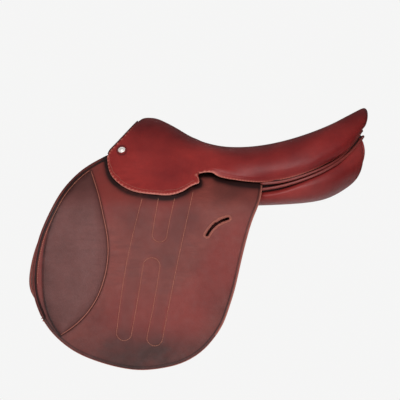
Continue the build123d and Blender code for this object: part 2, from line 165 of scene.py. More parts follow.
# Side-view outlines and seams, in mm as (x, z)
FLAP_TOP = [(-215, 90), (-180, 72), (-120, 50), (-75, 54), (-48, 61), (-20, 61), (10, 54), (61, 46)]
FLAP_REAR = [(61, 46), (57, 12), (44, -23), (32, -62), (21, -107), (10.7, -151), (0, -185),
             (-10.7, -212), (-21, -229)]
FLAP_BOTTOM = [(-331, -198), (-317, -219), (-297, -240), (-269, -260), (-240, -273), (-200, -285),
               (-155, -291), (-120, -288), (-85, -279.5), (-58, -266), (-38, -249.5), (-21, -229)]
FLAP_FRONT = [(-215, 90), (-236, 79), (-258, 65), (-280, 45), (-297, 24), (-311, 0), (-324, -27),
              (-334, -52),
              (-342, -82), (-346.5, -112), (-347, -140), (-342.5, -168), (-331, -198)]
PAD_FRONT = [(-245, 61), (-262, 48), (-282, 26), (-298, 2), (-312, -28), (-323, -62), (-328, -94),
             (-329, -126),
             (-327, -160), (-320, -190), (-308, -215), (-297, -231)]
PAD_REAR = [(-245, 61), (-238.5, 42), (-231, 18), (-222.5, -18), (-217, -44), (-213.6, -71), (-214.5, -101),
            (-221, -133.5), (-233, -165), (-249, -190), (-272, -213.6), (-297, -231)]
STRAP_RUNS = [[(-153, 12), (-180, -101), (-198, -227)], [(-171, -227), (-160, -165), (-151, -108)],
              [(-121, -109), (-130, -165), (-144, -235)], [(-116, -236), (-97.5, -140), (-62, 24)]]
TONGUE_RUNS = [[(-124, 12), (-130.5, -25), (-135, -53)], [(-108.5, -52), (-103, -24), (-95, 12)]]
SLOT_LINE = [(-37.4, -53.4), (-31, -43.5), (-22, -34.5), (-11.5, -28), (0, -24)]
UNDER_TOP = [(-301, 7), (-200, 7), (-60, 7), (38, 7)]
UNDER_FRONT = [(-301, 7), (-324, -36), (-343, -80), (-349, -112), (-347, -150), (-331, -185)]
UNDER_BOTTOM = [(-331, -185), (-300, -222), (-250, -256), (-155, -274), (-80, -260), (-30, -215)]
UNDER_REAR = [(38, 7), (22, -60), (0, -140), (-30, -215)]
BLOCK_TOP = [(-300, 1), (-285, 1), (-272, 1)]
BLOCK_FRONT = [(-300, 1), (-325.5, -42), (-342, -84), (-348.5, -115), (-346.5, -150), (-339, -163)]
BLOCK_BOTTOM = [(-339, -163), (-320, -164), (-302, -163)]
BLOCK_REAR = [(-272, 1), (-285, -42), (-297, -112), (-302, -163)]

# Welts from the waist to the middle of the cantle, and closed panel ribs from front to rear, in mm
WELT_UPPER = [(58, 127, 38), (92, 131.5, 41), (128, 129.5, 50), (164, 118.5, 63.5), (199, 92.5, 83),
              (217, 68, 101),
              (233, 40, 122), (240.5, 14, 132.5), (241.5, 0, 133.5)]
WELT_LOWER = [(56, 123, 27), (92, 129, 33), (128, 130.5, 43), (160, 124.5, 55.5), (192, 106, 72.5),
              (218, 76, 93),
              (236, 46, 113), (243, 16, 122), (244, 0, 123)]
PANEL_RIBS = [
    rib_at(-200, (40, 56), (50, 60), (62, 56), (104, 17), (130, -38), (124, -56), (99, -38), (60, 20)),
    rib_at(-150, (34, 44), (44, 47), (56, 42), (104, 10), (128, -30), (120, -50), (97, -35), (60, 14)),
    rib_at(-90, (34, 38), (46, 42), (60, 39), (105, 8), (120, -12), (110, -27), (84, -18), (52, 8)),
    rib_at(-30, (37, 36), (60, 38), (86, 34), (107, 15), (112, 2), (98, -5), (68, -2), (44, 8)),
    rib_at(30, (37, 29), (62, 32), (90, 30), (113, 20), (117, 8), (98, 1), (64, 1), (42, 8)),
    rib_at(90, (37, 27), (66, 30), (100, 29), (127, 25.5), (131, 14), (110, 2.5), (68, 2), (42, 9)),
    rib_at(135, (38, 35), (68, 44), (100, 45), (129, 41), (134, 26), (114, 8), (70, 4), (42, 14)),
    [(174, 37, 49), (176, 64, 63), (177, 92, 65), (179, 114, 61),
     (182, 119, 42), (180, 103, 19), (176, 67, 11), (175, 41, 20)],
    [(203, 34, 66), (207, 54, 84), (211, 74, 89), (215, 87, 83),
     (220, 92, 62), (216, 79, 38), (209, 55, 28), (204, 38, 38)],
    [(219, 28, 86), (225, 40, 104), (231, 50, 110), (236, 57, 105),
     (242.5, 60, 84), (238, 53, 59), (229, 42, 49), (222, 32, 57)],
    [(225, 25, 98), (231, 31, 114), (236, 36, 120), (240, 40, 114),
     (242.5, 41, 95), (239, 37, 74), (232, 31, 64), (226, 26, 72)],
]


def cubic(values, count, along=None):
    """Natural cubic spline through values, evaluated at count even steps of its length."""
    values = np.asarray(values, float)
    n = len(values)
    if along is None:
        steps = norm(np.diff(values, axis=0).reshape(n - 1, -1), axis=1)
        along = np.concatenate([[0], np.cumsum(steps + 1e-9)])
    h = np.diff(along)
    flat = values.reshape(n, -1)
    matrix = np.zeros((n, n))
    right = np.zeros_like(flat)
    matrix[0, 0] = matrix[-1, -1] = 1
    for i in range(1, n - 1):
        matrix[i, i - 1:i + 2] = h[i - 1], 2 * (h[i - 1] + h[i]), h[i]
        right[i] = 6 * ((flat[i + 1] - flat[i]) / h[i] - (flat[i] - flat[i - 1]) / h[i - 1])
    bend = np.linalg.solve(matrix, right)
    at = np.linspace(0, along[-1], count)
    k = np.clip(np.searchsorted(along, at, side="right") - 1, 0, n - 2)
    a = ((along[k + 1] - at) / h[k])[:, None]
    b = 1 - a
    cubic_part = ((a ** 3 - a) * bend[k] + (b ** 3 - b) * bend[k + 1]) * (h[k] ** 2)[:, None] / 6
    return (a * flat[k] + b * flat[k + 1] + cubic_part).reshape((count,) + values.shape[1:])


def patch(ribs, rows, columns):
    """Smooth grid of points through control ribs given in mm."""
    ribs = np.asarray(ribs, float) / 1000
    grid = cubic(ribs, rows)
    return cubic(grid.transpose(1, 0, 2), columns).transpose(1, 0, 2)


def curve2(points, count):
    """Evenly spaced points on a side-view curve given in mm."""
    return cubic(np.asarray(points, float) / 1000, count)


def coons(top, bottom, front, rear, rows, columns):
    """Grid that fills an outline of four curves; front and rear run down, top and bottom run back."""
    top, bottom = curve2(top, columns), curve2(bottom, columns)
    front, rear = curve2(front, rows), curve2(rear, rows)
    s = np.linspace(0, 1, columns)[None, :, None]
    t = np.linspace(0, 1, rows)[:, None, None]
    across = (1 - t) * top[None] + t * bottom[None]
    down = (1 - s) * front[:, None] + s * rear[:, None]
    corners = ((1 - s) * (1 - t) * top[0] + s * (1 - t) * top[-1]
               + (1 - s) * t * bottom[0] + s * t * bottom[-1])
    return across + down - corners


def seam_line(runs):
    """Side-view seam of gentle runs, in mm, joined by half-round turns."""
    parts = []
    for run in runs:
        points = curve2(run, 40)
        if parts:
            start = parts[-1][-1]
            half = (points[0] - start) / 2
            ahead = start - parts[-1][-2]
            ahead = ahead - half * (ahead @ half) / (half @ half)
            ahead *= norm(half) / norm(ahead)
            turn = np.linspace(0, math.pi, 20)[1:-1, None]
            parts.append(start + half * (1 - np.cos(turn)) + ahead * np.sin(turn))
        parts.append(points)
    return np.concatenate(parts)


STRAP_SEAM = seam_line(STRAP_RUNS)
TONGUE_SEAM = seam_line(TONGUE_RUNS)


def smooth(x):
    """Smooth step from 0 to 1."""
    x = np.clip(x, 0, 1)
    return x * x * (3 - 2 * x)


def distance(points, line):
    """Distance from each side-view point to a polyline."""
    shape = points.shape[:-1]
    flat = points.reshape(-1, 2)
    best = np.full(len(flat), 1e9)
    for a, b in zip(line[:-1], line[1:]):
        ab = b - a
        t = np.clip(((flat - a) @ ab) / (ab @ ab + 1e-12), 0, 1)
        best = np.minimum(best, norm(flat - a - t[:, None] * ab, axis=1))
    return best.reshape(shape)


def inside(points, loop):
    """True for each side-view point inside a closed loop."""
    shape = points.shape[:-1]
    flat = points.reshape(-1, 2)
    odd = np.zeros(len(flat), bool)
    for a, b in zip(loop, np.roll(loop, -1, axis=0)):
        crosses = (a[1] > flat[:, 1]) != (b[1] > flat[:, 1])
        with np.errstate(divide="ignore", invalid="ignore"):
            reach = (b[0] - a[0]) * (flat[:, 1] - a[1]) / (b[1] - a[1]) + a[0]
        odd ^= crosses & (flat[:, 0] < reach)
    return odd.reshape(shape)


def normals(grid):
    """Unit normals of a grid of points."""
    across = np.gradient(grid, axis=1)
    down = np.gradient(grid, axis=0)
    n = np.cross(across, down)
    return n / (norm(n, axis=2, keepdims=True) + 1e-12)


def mesh_object(name, points, faces, material, side):
    """Mesh with smooth shading, mirrored to its side."""
    points = np.array(points, float)
    points[:, 1] *= side
    if side < 0:
        faces = [face[::-1] for face in faces]
    mesh = bpy.data.meshes.new(name)
    mesh.from_pydata(points.tolist(), [], faces)
    mesh.validate()
    mesh.materials.append(material)
    mesh.shade_smooth()
    mesh.update()
    piece = bpy.data.objects.new(name, mesh)
    bpy.context.collection.objects.link(piece)
    return piece


def paint(piece, name, values):
    """Float attribute on the points of a piece, for its material."""
    attribute = piece.data.attributes.new(name, "FLOAT", "POINT")
    attribute.data.foreach_set("value", np.asarray(values, np.float32))


def sheet_faces(keep):
    """Outer and inner faces of a grid's kept cells, and the directed edges round them."""
    rows, columns = keep.shape[0] + 1, keep.shape[1] + 1
    inner = rows * columns
    faces, rim = [], {}
    for i, j in np.argwhere(keep).tolist():
        a = i * columns + j
        b, c, d = a + 1, a + columns + 1, a + columns
        faces.append((a, b, c, d))
        faces.append((d + inner, c + inner, b + inner, a + inner))
        for start, end in ((a, b), (b, c), (c, d), (d, a)):
            if rim.pop((end, start), None) is None:
                rim[start, end] = True
    return faces, list(rim)


def rolled_rim(rim, outer, out, thickness, turns):
    """Points that round a sheet's rim, and each rim point's ids from the outer to the inner face."""
    push = {}
    for a, b in rim:
        sideways = np.cross(out[a], outer[b] - outer[a])
        length = norm(sideways)
        if length > 1e-9:
            for v in (a, b):
                push[v] = push.get(v, np.zeros(3)) + sideways / length
    count = len(outer)
    extra, ring = [], {}
    for v, direction in push.items():
        direction = direction / (norm(direction) + 1e-9)
        ring[v] = [v]
        for k in range(1, turns):
            turn = math.pi * k / turns
            bulge = math.sin(turn) * thickness * RIM_BULGE
            depth = (1 - math.cos(turn)) / 2 * thickness
            ring[v].append(2 * count + len(extra))
            extra.append(outer[v] - direction * bulge - out[v] * depth)
        ring[v].append(v + count)
    return np.array(extra), ring


def leather(name, grid, thickness, material, side, out, masks=None, cuts=None, rim_turn=4, open_row=False):
    """Leather sheet with rounded edges from a grid of its outer face.

    cuts marks cells left out; open_row leaves the edge of the grid's first row flat.
    """
    rows, columns = grid.shape[:2]
    outer, up = grid.reshape(-1, 3), out.reshape(-1, 3)
    faces, rim = sheet_faces(np.ones((rows - 1, columns - 1), bool) if cuts is None else ~cuts)
    if open_row:
        rim = [edge for edge in rim if max(edge) >= columns]
    extra, ring = rolled_rim(rim, outer, up, thickness, rim_turn)
    for a, b in rim:
        if a in ring and b in ring:
            for k in range(rim_turn):
                faces.append((ring[b][k], ring[a][k], ring[a][k + 1], ring[b][k + 1]))
    points = np.concatenate([outer, outer - up * thickness, extra])
    piece = mesh_object(name, points, faces, material, side)
    plain, rolled = np.zeros(len(extra)), np.ones(len(extra))
    paint(piece, "cut_edge", np.concatenate([np.zeros(2 * len(outer)), rolled]))
    for mask, values in (masks or {}).items():
        paint(piece, mask, np.concatenate([values.ravel(), values.ravel(), plain]))
    return piece


def flap_y(z):
    """Distance of the flap's outer face from the centre plane, with a soft fold."""
    bend = FOLD_SOFT * np.logaddexp(0, (z - FOLD_Z) / FOLD_SOFT)
    return FOLD_Y + FLARE * (FOLD_Z - z) - (SLOPE - FLARE) * bend


def flap_out(z):
    """Outward normals of that face."""
    turn = 1 / (1 + np.exp(-(z - FOLD_Z) / FOLD_SOFT))
    lean = FLARE + (SLOPE - FLARE) * turn
    n = np.stack([np.zeros_like(z), np.ones_like(z), lean], axis=-1)
    return n / norm(n, axis=-1, keepdims=True)


def on_flap(side_points, depth=0.0):
    """Side-view points laid on the flap's face, sunk by depth."""
    x, z = side_points[..., 0], side_points[..., 1]
    face = np.stack([x, flap_y(z), z], axis=-1)
    return face - flap_out(z) * np.broadcast_to(depth, z.shape)[..., None]


def sway(side_points):
    """Slight unevenness of the hanging flap, as depth below its face."""
    x, z = side_points[..., 0], side_points[..., 1]
    return 0.0009 * np.sin(x * 23 + z * 9) * smooth((FOLD_Z - z) / 0.12)


def out_of_flap(points):
    """Outward normals of the flap's face at points on it."""
    return flap_out(points[:, 2])


def groove(d, width, depth):
    """Rounded groove of a given half width at distance d from its line; also the shape of a dyed line."""
    return depth * np.exp(-(d / width) ** 2)


def directions(line):
    """Unit tangents of a side-view line and the unit vectors square to them."""
    tangent = np.gradient(line, axis=0)
    tangent /= norm(tangent, axis=1, keepdims=True)
    return tangent, np.stack([-tangent[:, 1], tangent[:, 0]], axis=1)


def around(line, reach):
    """Closed capsule-shaped loop at a fixed distance round an open line."""
    tangent, normal = directions(line)
    turn = np.linspace(0, math.pi, 9)[1:-1, None]
    caps = []
    for end, sign in ((-1, 1), (0, -1)):
        spoke = np.cos(turn) * normal[end] + np.sin(turn) * tangent[end]
        caps.append(line[end] + reach * sign * spoke)
    loop = np.concatenate([line + normal * reach, caps[0], (line - normal * reach)[::-1], caps[1]])
    return np.concatenate([loop, loop[:1]])


def along(path, step):
    """Points at even steps on a path, with their tangents."""
    lengths = np.concatenate([[0], np.cumsum(norm(np.diff(path, axis=0), axis=1))])
    count = max(2, int(lengths[-1] / step))
    at = (np.arange(count) + 0.5) / count * lengths[-1]
    points = np.stack([np.interp(at, lengths, path[:, k]) for k in range(3)], axis=1)
    ahead = np.stack([np.interp(at + step * 0.3, lengths, path[:, k]) for k in range(3)], axis=1)
    behind = np.stack([np.interp(at - step * 0.3, lengths, path[:, k]) for k in range(3)], axis=1)
    tangent = ahead - behind
    return points, tangent / (norm(tangent, axis=1, keepdims=True) + 1e-12)


def circle(centre, right, up, radius, turns):
    """Points of a circle about a centre."""
    angles = 2 * math.pi * np.arange(turns) / turns
    return centre + (np.outer(np.cos(angles), right) + np.outer(np.sin(angles), up)) * radius


def ring_faces(rings, turns, base=0):
    """Side and end faces of a skin over rings of points, numbered from base."""
    faces = []
    for ring in range(rings - 1):
        for k in range(turns):
            a = base + ring * turns + k
            b = base + ring * turns + (k + 1) % turns
            faces.append((a, b, b + turns, a + turns))
    last = base + (rings - 1) * turns
    faces.append(tuple(range(base + turns - 1, base - 1, -1)))
    faces.append(tuple(range(last, last + turns)))
    return faces


def skin(name, rings, material, side):
    """Closed skin over rings that have the same number of points."""
    rings = np.array(rings)
    faces = ring_faces(rings.shape[0], rings.shape[1])
    return mesh_object(name, rings.reshape(-1, 3), faces, material, side)


def stitches(name, paths, out, material, side, pitch=STITCH_PITCH, length=STITCH_LENGTH):
    """Row of sewn stitches along paths; out gives the face's normals at points."""
    profile = ((-0.5, 0.25), (-0.38, 0.85), (0, 1), (0.38, 0.85), (0.5, 0.25))
    turns = 6
    rings, faces = [], []
    for path in paths:
        centres, tangents = along(path, pitch)
        for centre, tangent, up in zip(centres, tangents, out(centres)):
            faces += ring_faces(len(profile), turns, len(rings) * turns)
            across = np.cross(tangent, up)
            for place, swell in profile:
                middle = centre + tangent * place * length + up * THREAD * (0.55 - abs(place) * 1.2)
                rings.append(circle(middle, across, up, THREAD * swell, turns))
    return mesh_object(name, np.concatenate(rings), faces, material, side)


def tube(name, path, radius, material, side=1, turns=14):
    """Round cord along a path of points, tapered at both ends."""
    tangents = np.gradient(path, axis=0)
    tangents /= norm(tangents, axis=1, keepdims=True)
    rings = []
    for i, (centre, tangent) in enumerate(zip(path, tangents)):
        right = np.cross(tangent, (0, 0, 1))
        right /= norm(right)
        taper = min(1.0, 0.35 + 0.22 * min(i, len(path) - 1 - i))
        rings.append(circle(centre, right, np.cross(right, tangent), radius * taper, turns))
    return skin(name, rings, material, side)


def round_cantle(points, count):
    """Spline through points in mm on the +Y side and back along the -Y side."""
    points = np.asarray(points, float) / 1000
    mirrored = points[-2::-1] * [1, -1, 1]
    return cubic(np.concatenate([points, mirrored]), count)


def linear(colour):
    """Display colour, 0 to 255, as the renderer's linear colour."""
    out = []
    for value in colour:
        value = value / 255
        out.append(value / 12.92 if value <= 0.04045 else ((value + 0.055) / 1.055) ** 2.4)
    return (*out, 1)


def preset(node, values):
    """Sets a node's inputs by name."""
    for name, value in values.items():
        node.inputs[name].default_value = value


class Nodes:
    """Short way to build a material's nodes."""

    def __init__(self, name):
        self.material = bpy.data.materials.new(name)
        self.material.use_nodes = True
        self.tree = self.material.node_tree
        self.shader = self.tree.nodes["Principled BSDF"]
        self.coordinates = self.add("ShaderNodeTexCoord").outputs["Object"]

    def add(self, kind, **settings):
        node = self.tree.nodes.new(kind)
        for key, value in settings.items():
            setattr(node, key, value)
        return node

    def link(self, source, target):
        if hasattr(source, "links"):
            self.tree.links.new(source, target)
        else:
            target.default_value = source

    def noise(self, scale, detail=4, rough=0.55, stretch=(1, 1, 1)):
        mapping = self.add("ShaderNodeMapping")
        preset(mapping, {"Scale": stretch})
        self.link(self.coordinates, mapping.inputs["Vector"])
        node = self.add("ShaderNodeTexNoise")
        preset(node, {"Scale": scale, "Detail": detail, "Roughness": rough})
        self.link(mapping.outputs[0], node.inputs["Vector"])
        return node.outputs["Fac"]

    def cells(self, scale):
        node = self.add("ShaderNodeTexVoronoi", feature="DISTANCE_TO_EDGE")
        preset(node, {"Scale": scale})
        self.link(self.coordinates, node.inputs["Vector"])
        return node.outputs["Distance"]

    def fit(self, value, low, high, to_low, to_high):
        node = self.add("ShaderNodeMapRange", clamp=True)
        preset(node, {"From Min": low, "From Max": high, "To Min": to_low, "To Max": to_high})
        self.link(value, node.inputs["Value"])
        return node.outputs["Result"]

    def math(self, operation, a, b):
        node = self.add("ShaderNodeMath", operation=operation)
        self.link(a, node.inputs[0])
        self.link(b, node.inputs[1])
        return node.outputs[0]

    def mix(self, factor, a, b):
        node = self.add("ShaderNodeMix", data_type="RGBA")
        self.link(factor, node.inputs[0])
        self.link(a, node.inputs[6])
        self.link(b, node.inputs[7])
        return node.outputs[2]

    def finish(self, colour, roughness, normal=None):
        self.link(colour, self.shader.inputs["Base Color"])
        self.link(roughness, self.shader.inputs["Roughness"])
        if normal is not None:
            self.link(normal, self.shader.inputs["Normal"])
        return self.material

    def attribute(self, name):
        return self.add("ShaderNodeAttribute", attribute_name=name).outputs["Fac"]

    def bump(self, height, strength, distance, before=None):
        node = self.add("ShaderNodeBump")
        preset(node, {"Strength": strength, "Distance": distance})
        self.link(height, node.inputs["Height"])
        if before is not None:
            self.link(before, node.inputs["Normal"])
        return node.outputs["Normal"]


def leather_material(name, colour, deep, edge, roughness, coat=0.05, grain=900, patches=7.0, depth=0.00012,
                     gloss=0.4, masks=()):
    """Dyed leather: cloudy colour, fine grain, creases and paler burnished cut edges; its masks add wear
    with painted highlight and painted shade.

    masks lists painted attributes with their strength and colour.
    """
    n = Nodes(name)
    cloud = n.fit(n.noise(patches, 5, 0.6), 0.34, 0.68, 0, 1)
    streak = n.fit(n.noise(120, 4, 0.65, (0.22, 1, 1)), 0.35, 0.7, 0, 0.5)
    tone = n.mix(n.math("MAXIMUM", cloud, streak), linear(colour), linear(deep))
    fine = n.fit(n.noise(420, 3, 0.7), 0.3, 0.7, 0, 0.22)
    tone = n.mix(fine, tone, shade(deep, 0.72))
    for mask, strength, stain in masks:
        patchy = n.fit(n.noise(22, 4, 0.6), 0.3, 0.6, strength * 0.6, strength)
        tone = n.mix(n.math("MULTIPLY", n.attribute(mask), patchy), tone, linear(stain))
    tone = n.mix(n.attribute("cut_edge"), tone, linear(edge))
    rough = n.fit(n.noise(90, 4, 0.6), 0.3, 0.7, roughness - 0.06, roughness + 0.09)
    rough = n.math("ADD", rough, n.math("MULTIPLY", cloud, 0.05))
    pores = n.fit(n.cells(grain), 0.0, 0.16, 0, 1)
    normal = n.bump(n.noise(150, 5, 0.6, (1, 1, 1.6)), 0.35, depth * 4)
    normal = n.bump(pores, 0.5, depth, normal)
    preset(n.shader, {"Coat Weight": coat, "Coat Roughness": 0.22, "Coat IOR": 1.45,
                      "Specular IOR Level": gloss})
    return n.finish(tone, rough, normal)


def shade(colour, part):
    """Display colour darkened to a part of its brightness, as a linear colour."""
    return linear([c * part for c in colour])


def metal_material(name, colour, roughness, metallic=1.0):
    """Polished metal with fine brushing and handling marks."""
    n = Nodes(name)
    marks = n.noise(260, 4, 0.7, (1, 6, 1))
    tone = n.mix(n.fit(marks, 0.35, 0.7, 0, 0.5), linear(colour), shade(colour, 0.8))
    rough = n.fit(marks, 0.3, 0.7, roughness - 0.06, roughness + 0.12)
    preset(n.shader, {"Metallic": metallic})
    return n.finish(tone, rough, n.bump(marks, 0.15, 0.00005))


def rough_material(name, colour, deep, scale, stretch, roughness, depth):
    """Wood, foam, web or paint: streaked or cellular colour with relief."""
    n = Nodes(name)
    streak = n.noise(scale, 6, 0.65, stretch)
    tone = n.mix(n.fit(streak, 0.3, 0.7, 0, 1), linear(colour), linear(deep))
    rough = n.fit(streak, 0.3, 0.7, roughness - 0.08, roughness + 0.08)
    return n.finish(tone, rough, n.bump(streak, 0.5, depth))


def thread_material(name, colour):
    """Waxed thread with twisted-strand variation."""
    n = Nodes(name)
    twist = n.noise(900, 3, 0.6)
    tone = n.mix(n.fit(twist, 0.35, 0.65, 0, 1), linear(colour), shade(colour, 0.7))
    return n.finish(tone, n.fit(twist, 0.3, 0.7, 0.5, 0.7))


# Seat and flap: a pale line along edges and lips, partly burnished wear and partly painted highlight.
# Seat: a deep red painted shade over the top of the seat, where less light falls.
# Seat: near-black painted shade in a ring round the head nail.
SEAT = leather_material("seat_leather", (148, 44, 40), (104, 24, 26), (200, 124, 112), roughness=0.36,
                        gloss=0.2,
                        masks=(("top_painted_shade", 1.0, (80, 13, 15)), ("wear_and_edge_highlight", 0.95, (206, 122, 106)),
                               ("edge_painted_shade", 0.9, (60, 14, 16))))
# Flap: near-black painted shade in its creases, round the knee pad and as the skirt's shadow below its
# edge; darker along its outline.
FLAP = leather_material("flap_leather", (122, 57, 50), (84, 34, 31), (176, 108, 96), roughness=0.52,
                        coat=0.03, grain=850, patches=8.0, gloss=0.2,
                        masks=(("ruddy", 0.65, (122, 42, 38)), ("channel", 0.35, (88, 46, 42)),
                               ("patina", 0.97, (56, 31, 28)), ("edge_painted_shade", 1.3, (32, 10, 9)),
                               ("wear_and_edge_highlight", 0.6, (178, 106, 90))))
# Knee pad: painted shade along its seams and over its upper part.
PAD = leather_material("pad_leather", (110, 65, 62), (86, 48, 45), (120, 70, 66), roughness=0.5, coat=0.03,
                       grain=620, patches=8.0, depth=0.0002, gloss=0.2,
                       masks=(("edge_painted_shade", 0.85, (54, 24, 22)),))
UNDER = leather_material("under_leather", (94, 38, 34), (70, 27, 25), (150, 84, 76), roughness=0.5,
                         grain=800, gloss=0.25)
PANEL = leather_material("panel_leather", (150, 50, 46), (108, 28, 28), (130, 70, 66), roughness=0.36,
                         coat=0.08, grain=950, gloss=0.25)
# Near-black leather of the pommel and cantle facings; on the cantle it is painted shade of the hollow under
# the cantle's lip.
DARK = leather_material("dark_leather", (46, 16, 16), (26, 9, 10), (70, 30, 28), roughness=0.42, coat=0.1)
WELT = leather_material("welt_leather", (146, 60, 52), (104, 38, 35), (150, 90, 78), roughness=0.38,
                        coat=0.15)
PIPING = leather_material("piping_leather", (158, 92, 76), (120, 62, 52), (150, 90, 78),
                          roughness=0.45)
STRAP = leather_material("strap_leather", (108, 54, 46), (84, 40, 34), (120, 66, 58), roughness=0.5,
                         grain=700)
THREAD_PALE = thread_material("flap_thread", (198, 126, 100))
THREAD_DARK = thread_material("seat_thread", (170, 96, 80))
NICKEL = metal_material("nickel", (250, 244, 238), roughness=0.5, metallic=0.7)
STEEL = metal_material("forged_steel", (168, 168, 172), roughness=0.34)
BEECH = rough_material("beech", (168, 128, 84), (120, 84, 52), scale=30, stretch=(0.3, 3, 3), roughness=0.6,
                       depth=0.0003)
FOAM = rough_material("seat_foam", (204, 190, 156), (170, 152, 118), scale=500, stretch=(1, 1, 1),
                      roughness=0.85, depth=0.0006)
WEB = rough_material("flax_web", (188, 176, 146), (132, 120, 94), scale=700, stretch=(3, 1, 0.4),
                     roughness=0.85, depth=0.0005)


def fair(grid, rounds=60):
    """Smooths short ripples along the seat without shrinking it, less towards its lower edge."""
    hold = np.linspace(1, 0, grid.shape[0])[:, None, None] ** 0.5
    grid = grid.copy()
    for _ in range(rounds):
        for step in (0.5, -0.52):
            change = (grid[:, :-2] - 2 * grid[:, 1:-1] + grid[:, 2:]) / 2
            grid[:, 1:-1] += step * hold * change
    return grid


def skirt_blend(piece, side_name):
    """Reads the skirt's hinge axis and the way down from it, and bakes a seat piece's transform into its
    points.
    """
    hinge = next(j for j in frame["joints"] if j["name"] == f"skirt_{side_name}_lift")
    axis = Vector(hinge["axis"]).normalized()
    side = SIDES[side_name]
    down = axis.cross(Vector((0, side, 1))).normalized()
    if down.z > 0:
        down = -down
    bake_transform(piece)


def edge_distance(grid):
    """Distance of each point of the seat from its lower and front edges."""
    flat = grid.reshape(-1, 3)
    gap = np.full(len(flat), 1.0)
    for point in np.concatenate([grid[-1, ::3], grid[::6, 0]]):
        gap = np.minimum(gap, norm(flat - point, axis=1))
    return gap.reshape(grid.shape[:2])


def seat_top_painted_shade(grid, lengths):
    """Shade painted on the top of the seat, where less light falls, reaching further out behind the waist.
    """
    from_centre = np.concatenate([np.zeros((1, grid.shape[1])), np.cumsum(lengths, axis=0)])
    behind_waist = smooth((grid[..., 0] + 0.06) / 0.06)
    return smooth(1.5 + 0.4 * behind_waist - from_centre / from_centre[-1] * 2.2)


def build_seat(side_name):
    """Half of the seat leather, running on into its skirt, with edge stitching; returns its points."""
    side = SIDES[side_name]
    grid = fair(patch(SEAT_RIBS, 330, 110).transpose(1, 0, 2))
    out = normals(grid)
    gap = edge_distance(grid)
    grid = grid - out * groove(gap - SKIRT_SEAM, width=0.0008, depth=0.00035)[..., None]
    grid[0, :, 1] = 0
    nail_gap = norm(grid[..., ::2] - [NAIL_X, NAIL_Z], axis=2)
    lengths = norm(np.diff(grid, axis=0), axis=2)
    # Pale edge line: burnished wear with a painted highlight.
    masks = {"wear_and_edge_highlight": groove(gap, width=0.0019, depth=1.0),
             # painted shade in a ring round the head nail
             "edge_painted_shade": groove(nail_gap - NAIL_SHADE, width=0.0014, depth=1.0),
             # painted shade over the top of the seat
             "top_painted_shade": seat_top_painted_shade(grid, lengths)}
    piece = leather(f"seat_{side_name}", grid, SEAT_LEATHER, SEAT, side, out, masks, open_row=True)
    skirt_blend(piece, side_name)
    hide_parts("seat_cover", f"skirt_{side_name}")
    stitch_skirt(side_name, grid, out, lengths)
    return grid


def stitch_skirt(side_name, grid, out, lengths):
    """Stitches inside the skirt's edge, from the front to the notch at its rear end."""
    inset = np.cumsum(lengths[::-1], axis=0)
    line, line_out = [], []
    for j in range(3, grid.shape[1] - 6, 2):
        i = grid.shape[0] - 2 - int(np.searchsorted(inset[:, j], SKIRT_SEAM))
        line.append(grid[i, j])
        line_out.append(out[i, j])
    line, line_out = np.array(line), np.array(line_out)

    def nearest_out(centres):
        picks = [int(np.argmin(norm(line - c, axis=1))) for c in centres]
        return line_out[picks]

    end = int(np.argmin(np.abs(line[:, 0] - NOTCH_X) + (line[:, 2] > NOTCH_TOP)))
    row = stitches(f"skirt_stitching_{side_name}", [line[:end]], nearest_out, THREAD_DARK, SIDES[side_name])
    skirt_blend(row, side_name)


def pad_loop():
    """Closed side-view outline of the knee pad."""
    return np.concatenate([curve2(PAD_FRONT, 60), curve2(PAD_REAR, 60)[::-1]])


def flap_distances(flat):
    """Distances of side-view points from the flap's edges, seams, slot and knee pad."""
    outline = [curve2(FLAP_FRONT, 90), curve2(FLAP_BOTTOM, 90), curve2(FLAP_REAR, 90)[::-1]]
    return {"edge": distance(flat, np.concatenate(outline)),
            "front": distance(flat, curve2(FLAP_FRONT, 160)),
            "rear": distance(flat, curve2(FLAP_REAR, 90)),
            "seams": np.minimum(distance(flat, STRAP_SEAM), distance(flat, TONGUE_SEAM)),
            "slot": distance(flat, curve2(SLOT_LINE, 40)),
            "pad": distance(flat, pad_loop())}


def flap_relief(flat, gap):
    """Depth below the flap's face of its creases, its raised beads and the recess for the knee pad."""
    sink = groove(gap["seams"], width=0.0010, depth=0.0004)
    sink += groove(gap["slot"] - SLOT_SEAM, width=0.0008, depth=0.0003)
    sink += groove(gap["edge"] - EDGE_CREASE, width=0.0008, depth=0.0003)
    sink += groove(gap["pad"], width=0.0022, depth=0.0011)
    sink -= groove(gap["slot"] - SLOT_LIP, width=0.0013, depth=0.0009)
    sink += groove(gap["front"] - FRONT_CREASE, width=0.0010, depth=0.0013)
    sink -= groove(gap["front"] - FRONT_BEAD, width=0.0018, depth=0.0007)
    recess = PAD_RECESS * smooth(gap["pad"] / PAD_SEWN)
    return sink + np.where(inside(flat, pad_loop()), recess, 0)


